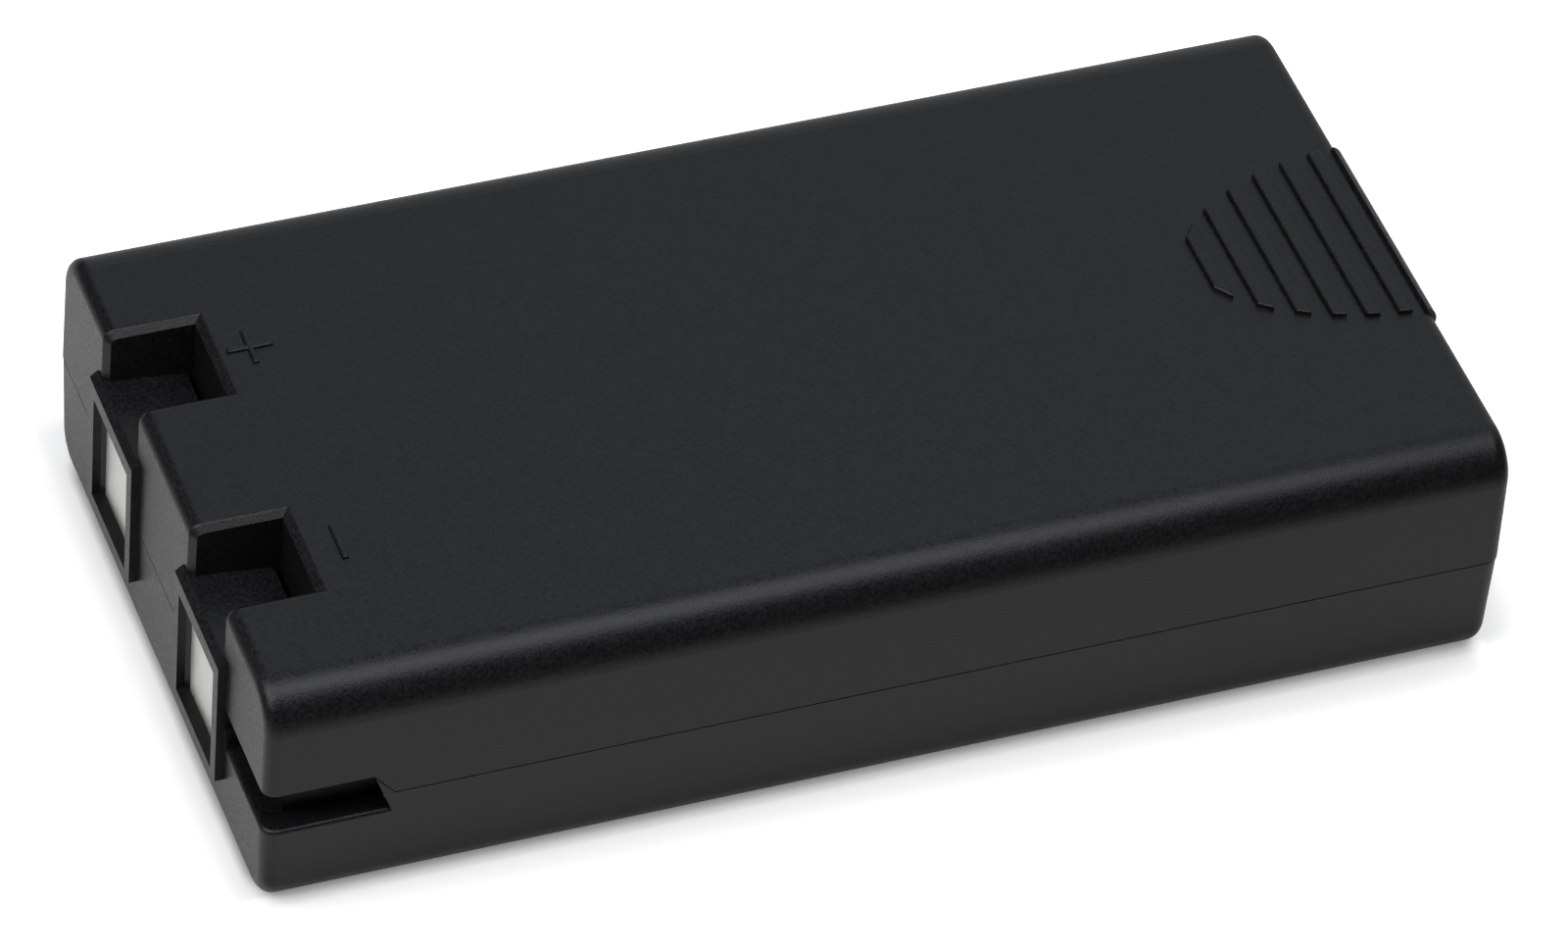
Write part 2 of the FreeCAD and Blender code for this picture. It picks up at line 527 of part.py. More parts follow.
boss_near = west + " + board_front + pin_inset"
boss_far = west + " + board_front + board_length - pin_inset"
pin_places = [(boss_near, "pin_spread / 2"), (boss_far, "-pin_spread / 2")]
rest_places = [(boss_near, "-pin_spread / 2"), (boss_far, "pin_spread / 2")]
for name, start, finish, radius in (
        ("boss", "0.5 * wall_thickness", board_bottom, "boss_diameter / 2"),
        ("pin", board_bottom + " - 0.5", "window_bottom + pin_proud", "pin_diameter / 2")):
    plan = add_sketch(lower, "board_" + name + "_plan", "XY_Plane", start)
    for across, up in pin_places:
        circle(plan, across, up, radius)
    extrude(lower, "Pad", "board_" + name + "s", plan, finish + " - (" + start + ")")
rests = add_sketch(lower, "board_rest_plan", "XY_Plane", "0.5 * wall_thickness")
for across, up in rest_places:
    rectangle(rests, across + " - boss_diameter / 2", across + " + boss_diameter / 2",
              up + " - boss_diameter / 2", up + " + boss_diameter / 2")
extrude(lower, "Pad", "board_rests", rests, board_bottom + " - 0.5 * wall_thickness")


def contact(name, side):
    """Stamped contact: plate behind the window and a tail folded back on to the board."""
    body = add_body(name)
    middle = side + " * terminal_pitch / 2"
    half = "(window_width / 2 + contact_overlap - contact_clearance)"
    high = "window_top - contact_clearance"
    plate = add_sketch(body, name + "_plate_face", "YZ_Plane", contact_face)
    outline(plate, [(middle + " - " + half + " + contact_corner", "window_bottom"),
                    (middle + " + " + half + " - contact_corner", "window_bottom"),
                    (middle + " + " + half, "window_bottom + contact_corner"),
                    (middle + " + " + half, high), (middle + " - " + half, high),
                    (middle + " - " + half, "window_bottom + contact_corner")])
    extrude(body, "Pad", name + "_plate", plate, "contact_thickness")
    tail = add_sketch(body, name + "_tail_plan", "XY_Plane", "window_bottom")
    rectangle(tail, contact_face + " + 0.5 * contact_thickness", tail_end,
              middle + " - tail_width / 2", middle + " + tail_width / 2")
    extrude(body, "Pad", name + "_tail", tail, "contact_thickness")
    inner_x = worth(contact_face + " + contact_thickness")
    inner_z = worth("window_bottom + contact_thickness")
    dress(body, "Fillet", name + "_fold", "Radius", "contact_thickness",
          lambda edge: near(edge.BoundBox.XMin, inner_x) and near(edge.BoundBox.XMax, inner_x)
          and near(edge.BoundBox.ZMin, inner_z) and near(edge.BoundBox.ZMax, inner_z))


contact("positive_contact", "1")
contact("negative_contact", "-1")


def cell(number, place, side):
    """Cell can turned about its axis: bevelled shoulder, button at the positive end."""
    name = "cell_%d" % number
    body = add_body(name)
    turned = add_sketch(body, name + "_section", "XY_Plane", cell_level)
    turned.setExpression("AttachmentOffset.Base.x", bound(place))
    radius = "cell_diameter / 2"
    shoulder = "cell_length / 2 - button_height"
    steps = [("0", "-cell_length / 2"), (radius, "-cell_length / 2"), (radius, shoulder + " - can_edge"),
             (radius + " - can_edge", shoulder), ("button_diameter / 2", shoulder),
             ("button_diameter / 2", "cell_length / 2"), ("0", "cell_length / 2")]
    outline(turned, [(across, side + " * (" + along + ")") for across, along in steps])
    can = body.newObject("PartDesign::Revolution", name + "_can")
    can.Profile = turned
    can.ReferenceAxis = (turned, ["V_Axis"])
    can.Angle = 360
    turned.Visibility = False
    doc.recompute()
    washer = add_body("cell_washer_%d" % number)
    seat = "-1 * " + side + " * (" + shoulder + ")"
    ring = add_sketch(washer, "cell_washer_%d_ring" % number, "XZ_Plane", seat)
    circle(ring, place, cell_level, "washer_outer / 2")
    circle(ring, place, cell_level, "washer_hole / 2")
    extrude(washer, "Pad", "cell_washer_%d_sheet" % number, ring, "washer_thickness", turned=side == "1")


for number, (place, side) in enumerate(zip(cell_places, ("1", "-1", "1", "-1")), start=1):
    cell(number, place, side)


def sheet_pad(body, name, side, start, thickness, left, right, low, high):
    """A flat piece standing at one side of the cells, start away from the can ends."""
    offset = "-1 * " + side + " * (cell_length / 2 + " + start + ")"
    face = add_sketch(body, body.Name + "_" + name + "_face", "XZ_Plane", offset)
    rectangle(face, left, right, low, high)
    extrude(body, "Pad", body.Name + "_" + name, face, thickness, turned=side == "1")


leg_places = {
    "near": west + " + board_front + board_length - leg_inset - leg_width",
    "middle": west + " + board_front + board_length / 2 - leg_width / 2",
    "far": west + " + board_front + leg_inset",
}
link_low = cell_level + " - link_height / 2"
link_high = cell_level + " + link_height / 2"


def strip(name, side, first, last, run, leg):
    """Nickel strip: plate on the cell ends, a run to the board, a leg and a soldered foot."""
    body = add_body(name)
    leg_left = leg_places[leg]
    leg_right = leg_left + " + leg_width"
    sheet_pad(body, "plate", side, "0", "strip_thickness", first + " - link_end", last + " + link_end",
              link_low, link_high)
    away = "0" if run == "straight" else "paper_thickness"
    if run == "straight":
        low = cell_level + " - run_height / 2"
        sheet_pad(body, "run", side, away, "strip_thickness", leg_left, first, low, low + " + run_height")
        sheet_pad(body, "leg", side, away, "strip_thickness", leg_left, leg_right, "window_bottom",
                  low + " + run_height")
    else:
        low = "low_run_bottom" if run == "low" else "high_run_bottom"
        joggle_low = link_low if run == "low" else link_high + " - run_height / 2"
        riser_low = low if run == "low" else joggle_low
        riser_high = link_low + " + run_height / 2" if run == "low" else low + " + run_height"
        start = last if name == "positive_strip" else first
        sheet_pad(body, "run", side, away, "strip_thickness", leg_left, start + " + leg_width / 2", low,
                  low + " + run_height")
        sheet_pad(body, "riser", side, away, "strip_thickness", start + " - leg_width / 2",
                  start + " + leg_width / 2", riser_low, riser_high)
        sheet_pad(body, "joggle", side, "0", "paper_thickness + strip_thickness", start + " - leg_width / 2",
                  start + " + leg_width / 2", joggle_low, joggle_low + " + run_height / 2")
        leg_low = low if run == "low" else "window_bottom"
        leg_high = "window_bottom + strip_thickness" if run == "low" else low + " + run_height"
        sheet_pad(body, "leg", side, away, "strip_thickness", leg_left, leg_right, leg_low, leg_high)
    plan = add_sketch(body, name + "_foot_plan", "XY_Plane", "window_bottom")
    outside = side + " * (cell_length / 2 + " + away + " + strip_thickness)"
    inside = side + " * (cell_length / 2 + " + away + " + strip_thickness - foot_reach)"
    ends = (outside, inside) if side == "-1" else (inside, outside)
    rectangle(plan, leg_left, leg_right, ends[0], ends[1])
    extrude(body, "Pad", name + "_foot", plan, "strip_thickness")


def paper(name, side, low, last):
    """Insulating paper on the can ends, under a strip that runs past them."""
    body = add_body(name)
    sheet_pad(body, "sheet", side, "0", "paper_thickness", "cells_start + paper_margin", last,
              low + " - paper_margin", low + " + run_height + paper_margin")


strip("negative_strip", "-1", cell_places[0], cell_places[0], "straight", "near")
strip("series_link_1_2", "1", cell_places[0], cell_places[1], "straight", "near")
strip("series_link_2_3", "-1", cell_places[1], cell_places[2], "high", "middle")
strip("series_link_3_4", "1", cell_places[2], cell_places[3], "low", "far")
strip("positive_strip", "-1", cell_places[3], cell_places[3], "low", "far")
paper("positive_paper", "-1", "low_run_bottom", cell_places[3] + " + leg_width / 2 + paper_margin")
paper("link_2_3_paper", "-1", "high_run_bottom", cell_places[1] + " + leg_width / 2 + paper_margin")
paper("link_3_4_paper", "1", "low_run_bottom", cell_places[2] + " + leg_width / 2 + paper_margin")

# Protection board on the staked bosses of the lower shell.
board = add_body("protection_board")
board_plan = add_sketch(board, "board_plan", "XY_Plane", board_bottom)
rectangle(board_plan, west + " + board_front", west + " + board_front + board_length",
          "-board_width / 2", "board_width / 2")
for across, up in pin_places:
    circle(board_plan, across, up, "pin_diameter / 2 + pin_clearance")
extrude(board, "Pad", "board_sheet", board_plan, "board_thickness")
board_x = west + " + board_front + board_length / 2"


def leaded_chip(name, across, along, length, width, leads):
    """Moulded chip with a row of flat leads at two sides, soldered to the board."""
    body = add_body(name)
    case = add_sketch(body, name + "_case_plan", "XY_Plane", "window_bottom + chip_stand")
    rectangle(case, across + " - " + width + " / 2", across + " + " + width + " / 2",
              along + " - " + length + " / 2", along + " + " + length + " / 2")
    extrude(body, "Pad", name + "_case", case, "chip_height - chip_stand")
    rails = add_sketch(body, name + "_lead_plan", "XY_Plane", "window_bottom")
    for index in range(leads):
        middle = along + " + (%.1f * lead_pitch)" % (index - (leads - 1) / 2)
        rectangle(rails, across + " - " + width + " / 2 - lead_reach",
                  across + " + " + width + " / 2 + lead_reach",
                  middle + " - lead_width / 2", middle + " + lead_width / 2")
    extrude(body, "Pad", name + "_leads", rails, "lead_thickness")


def block_part(name, across, along, length, width, height):
    """Chip resistor, fuse or capacitor with bevelled ends."""
    body = add_body(name)
    case = add_sketch(body, name + "_plan", "XY_Plane", "window_bottom")
    rectangle(case, across + " - " + width + " / 2", across + " + " + width + " / 2",
              along + " - " + length + " / 2", along + " + " + length + " / 2")
    extrude(body, "Pad", name + "_case", case, height)
    top = worth("window_bottom + " + height)
    dress(body, "Chamfer", name + "_bevels", "Size", "block_bevel",
          lambda edge: near(edge.BoundBox.ZMin, top) and near(edge.BoundBox.ZMax, top))


leaded_chip("power_transistor_1", board_x + " + chip_offset", "-terminal_pitch / 2", "transistor_length",
            "transistor_width", 4)
leaded_chip("power_transistor_2", board_x + " + chip_offset", "-terminal_pitch / 2 + transistor_step",
            "transistor_length", "transistor_width", 4)
leaded_chip("protection_chip", board_x + " + chip_offset", "controller_place", "controller_length",
            "controller_width", 5)
block_part("sense_resistor", board_x + " - resistor_offset", "0", "resistor_length",
           "resistor_width", "resistor_height")
block_part("board_fuse", board_x + " + chip_offset", "terminal_pitch / 2 + fuse_offset", "fuse_length",
           "fuse_width", "fuse_height")
block_part("filter_capacitor_1", board_x + " - capacitor_offset", "capacitor_place", "capacitor_length",
           "capacitor_width", "capacitor_height")
block_part("filter_capacitor_2", board_x + " - capacitor_offset", "-1 * capacitor_place", "capacitor_length",
           "capacitor_width", "capacitor_height")

# Temperature bead pressed against the first can, on two leads from the board.
sensor = add_body("thermistor")
bead = add_sketch(sensor, "bead_section", "YZ_Plane", "cells_start")
circle(bead, "0", cell_level, "bead_diameter / 2")
extrude(sensor, "Pad", "bead", bead, "bead_length", turned=True)
wires = add_sketch(sensor, "bead_lead_plan", "XY_Plane", "window_bottom")
for side in ("-", ""):
    middle = side + "bead_diameter / 4"
    rectangle(wires, "cells_start - bead_length + bead_lead / 2",
              "cells_start - bead_length + 1.5 * bead_lead",
              middle + " - bead_lead / 2", middle + " + bead_lead / 2")
extrude(sensor, "Pad", "bead_leads", wires, cell_level + " - window_bottom")

doc.recompute()
os.makedirs("parts", exist_ok=True)
for item in doc.Objects:
    if "Invalid" in item.State or "Error" in item.State:
        raise RuntimeError("not built: " + item.Name)
for body in doc.Objects:
    if body.TypeId != "PartDesign::Body":
        continue
    shape = body.Shape
    if shape.isNull() or not shape.isValid() or len(shape.Solids) != 1:
        raise RuntimeError("not one sound solid: " + body.Name)
    shape.exportStep("parts/%s.step" % body.Label)
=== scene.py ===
import math

import bpy
import numpy as np
from mathutils import Matrix, Vector


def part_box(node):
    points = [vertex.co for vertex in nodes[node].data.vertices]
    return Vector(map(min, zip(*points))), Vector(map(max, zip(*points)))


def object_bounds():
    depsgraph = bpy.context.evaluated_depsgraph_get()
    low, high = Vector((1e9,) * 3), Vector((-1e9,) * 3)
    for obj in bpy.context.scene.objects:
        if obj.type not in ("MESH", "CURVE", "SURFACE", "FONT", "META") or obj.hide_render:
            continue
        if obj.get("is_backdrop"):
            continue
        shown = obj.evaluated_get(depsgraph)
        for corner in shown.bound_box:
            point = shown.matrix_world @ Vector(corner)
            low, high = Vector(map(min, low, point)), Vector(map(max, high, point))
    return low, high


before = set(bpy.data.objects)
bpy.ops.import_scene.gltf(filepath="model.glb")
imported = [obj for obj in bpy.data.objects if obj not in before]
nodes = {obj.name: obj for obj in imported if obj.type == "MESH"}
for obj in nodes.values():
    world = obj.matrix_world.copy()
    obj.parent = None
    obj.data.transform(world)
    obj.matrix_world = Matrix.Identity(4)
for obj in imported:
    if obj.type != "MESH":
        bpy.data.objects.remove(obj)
cad_low, cad_high = (np.array(corner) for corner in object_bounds())

# Housing: two halves moulded in black plastic, whose mould was spark-eroded to a fine matt
# texture. The upper half drops over a tongue on the lower one and the joint is welded, so
# that only a hair line shows round the sides.


def join(tree, source, socket):
    """Joins a node's output to an input, or sets a plain number, vector or colour on it."""
    if isinstance(source, bpy.types.NodeSocket):
        tree.links.new(source, socket)
    else:
        socket.default_value = source


def feed(tree, item, **sources):
    """Joins or sets a node's inputs by name, with _ for a space."""
    for name, source in sources.items():
        join(tree, source, item.inputs[name.replace("_", " ")])


def add_node(tree, kind, choices=(), **sources):
    """A new node with its menu choices made, and its inputs joined or set by name."""
    item = tree.nodes.new("ShaderNode" + kind)
    for name, choice in dict(choices).items():
        setattr(item, name, choice)
    feed(tree, item, **sources)
    return item


def combine(tree, operation, *values):
    """One sum on one or two values, each a socket or a number."""
    item = add_node(tree, "Math", {"operation": operation})
    for socket, value in zip(item.inputs, values):
        join(tree, value, socket)
    return item.outputs["Value"]


def new_material(name):
    """An empty material with a Principled shader joined to its output."""
    material = bpy.data.materials.new(name)
    material.use_nodes = True
    tree = material.node_tree
    tree.nodes.clear()
    shader = add_node(tree, "BsdfPrincipled")
    add_node(tree, "OutputMaterial", Surface=shader.outputs["BSDF"])
    return material, tree, shader


def dress_nodes(material, *names):
    """Puts the material in every slot of the named pieces."""
    for name in names:
        for slot in nodes[name].material_slots:
            slot.material = material


def new_group(name, inputs, outputs):
    """A node group with its sockets made: gives it with its entry, exit and Object coordinates."""
    group = bpy.data.node_groups.new(name, "ShaderNodeTree")
    for socket, kind in inputs.items():
        group.interface.new_socket(socket, in_out="INPUT", socket_type="NodeSocket" + kind)
    for socket in outputs:
        group.interface.new_socket(socket, in_out="OUTPUT", socket_type="NodeSocketFloat")
    entry = group.nodes.new("NodeGroupInput")
    leave = group.nodes.new("NodeGroupOutput")
    spot = add_node(group, "TexCoord").outputs["Object"]
    return group, entry.outputs, leave, spot


def grain_group():
    """Fine grain: noise at two sizes of pit, given as a height and as a mask from 0 to 1."""
    group, entry, leave, spot = new_group(
        "fine_grain", {"Pits per Metre": "Float", "Coarse Share": "Float"}, ("Height", "Mask"))
    coarse_to_fine = 0.18
    fine_pits = entry["Pits per Metre"]
    coarse_pits = combine(group, "MULTIPLY", fine_pits, coarse_to_fine)
    fine = add_node(group, "TexNoise", Vector=spot, Scale=fine_pits, Detail=2.0)
    coarse = add_node(group, "TexNoise", Vector=spot, Scale=coarse_pits, Detail=3.0)
    height = add_node(group, "Mix", Factor=entry["Coarse Share"],
                      A=fine.outputs["Fac"], B=coarse.outputs["Fac"]).outputs["Result"]
    mask = add_node(group, "MapRange", Value=height, From_Min=0.35, From_Max=0.65)
    feed(group, leave, Height=height, Mask=mask.outputs["Result"])
    return group


fine_grain = grain_group()


def place_group(tree, group, **values):
    """The outputs of a node group placed in a material, with its inputs set by name."""
    return add_node(tree, "Group", {"node_tree": group}, **values).outputs


def blend_colours(tree, mask, dark, pale):
    """A colour that goes from dark to pale as the mask goes from 0 to 1."""
    mix = add_node(tree, "Mix", {"data_type": "RGBA"},
                   Factor=mask, A=(*dark, 1.0), B=(*pale, 1.0))
    return mix.outputs["Result"]


def spread_value(tree, mask, low, high):
    """A value that goes from low to high as the mask goes from 0 to 1."""
    return add_node(tree, "MapRange", Value=mask, To_Min=low, To_Max=high).outputs["Result"]


def bump(tree, height, distance, strength):
    """A normal that leans with the slope of a height, which is distance metres from 0 to 1."""
    item = add_node(tree, "Bump", Height=height, Distance=distance, Strength=strength)
    return item.outputs["Normal"]


housing, tree, shader = new_material("matt_black_housing")
pits = place_group(tree, fine_grain, Pits_per_Metre=6500.0, Coarse_Share=0.3)
mottle = place_group(tree, fine_grain, Pits_per_Metre=3600.0, Coarse_Share=0.15)
feed(tree, shader,
     Base_Color=blend_colours(tree, mottle["Mask"],
                              dark=(0.0029, 0.0031, 0.0035), pale=(0.0081, 0.0084, 0.0090)),
     IOR=1.357,
     Specular_Tint=(0.965, 0.98, 1.0, 1.0),
     Roughness=spread_value(tree, mottle["Mask"], low=0.31, high=0.43),
     Normal=bump(tree, pits["Height"], distance=0.00004, strength=0.8))
dress_nodes(housing, "upper_shell", "lower_shell")

# Contacts: stamped strip, nickel plated, pushed into slots behind the two windows. The
# rolled grain runs up the plate and the plating leaves it matt.


def vector_step(tree, operation, *vectors):
    """One step on one or two vectors, each a socket or three numbers: gives its outputs."""
    item = add_node(tree, "VectorMath", {"operation": operation})
    for socket, vector in zip(item.inputs, vectors):
        join(tree, vector, socket)
    return item.outputs


def rolled_group():
    """Rolled metal: noise drawn out along one axis, given as a height and as a mask from 0 to 1."""
    group, entry, leave, spot = new_group(
        "rolled_lines", {"Lines per Metre": "Vector"}, ("Height", "Mask"))
    drawn_out = vector_step(group, "MULTIPLY", spot, entry["Lines per Metre"])["Vector"]
    height = add_node(group, "TexNoise", Vector=drawn_out, Scale=1.0, Detail=3.0).outputs["Fac"]
    mask = add_node(group, "MapRange", Value=height, From_Min=0.3, From_Max=0.7)
    feed(group, leave, Height=height, Mask=mask.outputs["Result"])
    return group


rolled_lines = rolled_group()
contact_metal, tree, shader = new_material("nickel_plated_contact")
lines = place_group(tree, rolled_lines, Lines_per_Metre=(5200.0, 5200.0, 700.0))
feed(tree, shader,
     Base_Color=blend_colours(tree, lines["Mask"],
                              dark=(0.75, 0.75, 0.71), pale=(0.82, 0.82, 0.775)),
     Metallic=1.0,
     Roughness=spread_value(tree, lines["Mask"], low=0.46, high=0.54),
     Normal=bump(tree, lines["Height"], distance=0.00002, strength=0.2))
dress_nodes(contact_metal, "positive_contact", "negative_contact")

# Cells: four lithium-ion cans of plated steel, each in a blue sleeve shrunk on to it. The
# sleeve stops just short of both ends, where the steel is bare for the spot welds.


def measure(tree, point, direction):
    """How far a point lies along a direction: the two vectors' dot product."""
    return vector_step(tree, "DOT_PRODUCT", point, direction)["Value"]


def edge_group():
    """Bare ends: a mask that is 1 where a point lies further than Half from Centre along Axis."""
    group, entry, leave, spot = new_group(
        "bare_ends", {"Axis": "Vector", "Centre": "Float", "Half": "Float"}, ("Mask",))
    offset = combine(group, "SUBTRACT", measure(group, spot, entry["Axis"]), entry["Centre"])
    away = combine(group, "ABSOLUTE", offset)
    feed(group, leave, Mask=combine(group, "GREATER_THAN", away, entry["Half"]))
    return group


bare_ends = edge_group()


def tipped_material(name, axis, centre, half, coat, tip, coat_rough, tip_rough, pits_per_metre):
    """A coated body that is bare metal further than half from its centre along axis."""
    material, tree, shader = new_material(name)
    ends = place_group(tree, bare_ends, Axis=axis, Centre=centre, Half=half)["Mask"]
    pits = place_group(tree, fine_grain, Pits_per_Metre=pits_per_metre, Coarse_Share=0.4)
    darker = 0.86
    dark_coat = tuple(darker * part for part in coat)
    mix = add_node(tree, "Mix", {"data_type": "RGBA"}, Factor=ends, B=(*tip, 1.0),
                   A=blend_colours(tree, pits["Mask"], dark=dark_coat, pale=coat))
    feed(tree, shader,
         Base_Color=mix.outputs["Result"],
         Metallic=ends,
         Roughness=spread_value(tree, ends, low=coat_rough, high=tip_rough),
         Normal=bump(tree, pits["Height"], distance=0.00003, strength=0.25))
    return material


bare_rim = 0.0008
cell_low, cell_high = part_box("cell_1")
sleeve = tipped_material("blue_shrunk_sleeve", axis=(0.0, 1.0, 0.0),
                         centre=(cell_low[1] + cell_high[1]) / 2,
                         half=(cell_high[1] - cell_low[1]) / 2 - bare_rim,
                         coat=(0.10, 0.28, 0.50), tip=(0.66, 0.66, 0.64),
                         coat_rough=0.32, tip_rough=0.30, pits_per_metre=900.0)
dress_nodes(sleeve, "cell_1", "cell_2", "cell_3", "cell_4")

# Washers: rings of white pressed paper, gummed over the positive ends so that the sleeve's
# edge can't be cut by the strip.
paper, tree, shader = new_material("white_washer_paper")
fibres = place_group(tree, fine_grain, Pits_per_Metre=2600.0, Coarse_Share=0.5)
feed(tree, shader,
     Base_Color=blend_colours(tree, fibres["Mask"],
                              dark=(0.70, 0.70, 0.65), pale=(0.82, 0.82, 0.78)),
     Roughness=0.85,
     Normal=bump(tree, fibres["Height"], distance=0.00004, strength=0.4))
dress_nodes(paper, "cell_washer_1", "cell_washer_2", "cell_washer_3", "cell_washer_4")

# Strips: nickel ribbon rolled 0.15 mm thick, cut to length, spot welded to the cans and bent
# over at the board, where a foot is soldered down.
ribbon, tree, shader = new_material("rolled_nickel_ribbon")
lines = place_group(tree, rolled_lines, Lines_per_Metre=(350.0, 5000.0, 6500.0))
feed(tree, shader,
     Base_Color=blend_colours(tree, lines["Mask"],
                              dark=(0.63, 0.61, 0.57), pale=(0.74, 0.72, 0.68)),
     Metallic=1.0,
     Roughness=spread_value(tree, lines["Mask"], low=0.26, high=0.42),
     Normal=bump(tree, lines["Height"], distance=0.00002, strength=0.25))
dress_nodes(ribbon, "negative_strip", "series_link_1_2", "series_link_2_3", "series_link_3_4",
            "positive_strip")

# Papers: strips of tan pressed board, laid between a long ribbon and the cans that it passes
# and isn't welded to.
board_paper, tree, shader = new_material("tan_insulating_paper")
fibres = place_group(tree, fine_grain, Pits_per_Metre=1800.0, Coarse_Share=0.6)
feed(tree, shader,
     Base_Color=blend_colours(tree, fibres["Mask"],
                              dark=(0.52, 0.46, 0.33), pale=(0.64, 0.58, 0.44)),
     Roughness=0.8,
     Normal=bump(tree, fibres["Height"], distance=0.00004, strength=0.4))
dress_nodes(board_paper, "positive_paper", "link_2_3_paper", "link_3_4_paper")

# Protection board: glass cloth laminate under green solder resist. The woven cloth shows
# through the resist as a fine square weave.
laminate, tree, shader = new_material("green_board_laminate")
spot = add_node(tree, "TexCoord").outputs["Object"]
threads = [add_node(tree, "TexWave", {"bands_direction": direction}, Vector=spot, Scale=640.0)
           for direction in ("X", "Y")]
weave = combine(tree, "MULTIPLY", *(thread.outputs["Fac"] for thread in threads))
feed(tree, shader,
     Base_Color=blend_colours(tree, weave,
                              dark=(0.022, 0.165, 0.075), pale=(0.036, 0.225, 0.105)),
     Roughness=0.32,
     Normal=bump(tree, weave, distance=0.00001, strength=0.3))
dress_nodes(laminate, "protection_board")

# Board parts: chips moulded in black epoxy on tinned leads, a sensing resistor, a ceramic
# fuse and two capacitors with tinned ends, and a dipped bead that feels the cells' heat.
tin = (0.70, 0.70, 0.68)
epoxy = (0.028, 0.028, 0.032)
resistor_glaze = (0.05, 0.05, 0.06)
fuse_ceramic = (0.80, 0.80, 0.77)
capacitor_ceramic = (0.55, 0.43, 0.28)
lead_reach = 0.0010
tip_length = 0.0004
fuse_cap = 0.0007
board_parts = (("power_transistor_1", epoxy, lead_reach, 3000.0),
               ("power_transistor_2", epoxy, lead_reach, 3000.0),
               ("protection_chip", epoxy, lead_reach, 3000.0),
               ("sense_resistor", resistor_glaze, tip_length, 2500.0),
               ("board_fuse", fuse_ceramic, fuse_cap, 2000.0),
               ("filter_capacitor_1", capacitor_ceramic, tip_length, 4000.0),
               ("filter_capacitor_2", capacitor_ceramic, tip_length, 4000.0))
for name, coat, bare, pits_per_metre in board_parts:
    low, high = (np.array(corner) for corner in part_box(name))
    spans = high - low
    # The bare ends lie along X on the chips and the fuse, and along the longer side elsewhere.
    ends_along_x = name.startswith(("power", "protection", "board")) or spans[0] > spans[1]
    way = 0 if ends_along_x else 1
    finish = tipped_material(name + "_finish", axis=tuple(np.eye(3)[way]),
                             centre=float((low[way] + high[way]) / 2),
                             half=float(spans[way] / 2 - bare), coat=coat, tip=tin,
                             coat_rough=0.55, tip_rough=0.35, pits_per_metre=pits_per_metre)
    dress_nodes(finish, name)
bead_across = 0.0024
bead_top = float(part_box("thermistor")[1][2])
bead = tipped_material("dipped_bead", axis=(0.0, 0.0, 1.0), centre=bead_top, half=bead_across,
                       coat=(0.10, 0.08, 0.07), tip=tin,
                       coat_rough=0.25, tip_rough=0.35, pits_per_metre=1200.0)
dress_nodes(bead, "thermistor")

# Floor: the white table that the battery lies on. Reflections show it at full brightness close to
# the battery and behind it, and dim further off in front, a painted darkness, and in a painted
# shadow at the battery's foot. The camera sees it white, with the lamps' soft shadow along the
# front, lightened by painted light under the front edge and at both ends, and a painted shadow at
# the contacts' end.
table_half = 2.5
corners = np.array([(-1, -1), (1, -1), (1, 1), (-1, 1)]) * table_half
table_points = np.column_stack([corners, np.zeros(4)])
table_mesh = bpy.data.meshes.new("table_top")
table_mesh.from_pydata(table_points.tolist(), [], [(0, 1, 2, 3)])
table_top = bpy.data.objects.new("table_top", table_mesh)
bpy.context.scene.collection.objects.link(table_top)
paint, tree, shader = new_material("white_table_with_painted_shade")


def ramp(tree, value, start, end, low, high):
    """A smooth step from low to high, numbers or sockets, as the value goes from start to end."""
    item = add_node(tree, "MapRange", {"interpolation_type": "SMOOTHSTEP"}, Value=value,
                    From_Min=start, From_Max=end, To_Min=low, To_Max=high)
    return item.outputs["Result"]


# How far a point of the table lies outside the battery's box, and how far along the table.
spot = add_node(tree, "TexCoord").outputs["Object"]
from_centre = vector_step(tree, "SUBTRACT", spot, (cad_low + cad_high) / 2)["Vector"]
reach = vector_step(tree, "ABSOLUTE", from_centre)["Vector"]
past_side = vector_step(tree, "SUBTRACT", reach, (cad_high - cad_low) / 2)["Vector"]
outside = vector_step(tree, "MAXIMUM", past_side, (0.0, 0.0, 0.0))["Vector"]
beside = vector_step(tree, "LENGTH", outside)["Value"]
behind = measure(tree, spot, (0.4, 0.92, 0.0))
ahead = measure(tree, spot, (0.0, -1.0, 0.0))
leftward = measure(tree, spot, (-1.0, 0.0, 0.0))
left_line, front_line = (float(-side) for side in cad_low[:2])
right_line, back_line = (float(-side) for side in cad_high[:2])

# What reflections lose, painted dark: the table far off in front, and a painted shadow at the
# front's foot.
path = add_node(tree, "LightPath").outputs
far_loss = ramp(tree, behind, start=-0.02, end=0.05, low=0.9, high=0.05)
far = ramp(tree, beside, start=0.012, end=0.08, low=0.0, high=far_loss)
foot = combine(tree, "MULTIPLY",
               ramp(tree, beside, start=0.0, end=0.005, low=0.5, high=0.0),
               ramp(tree, ahead, start=front_line - 0.001, end=front_line, low=0.0, high=1.0))
painted_dark_in_reflections = combine(tree, "MULTIPLY", path["Is Glossy Ray"], combine(tree, "MAXIMUM", far, foot))
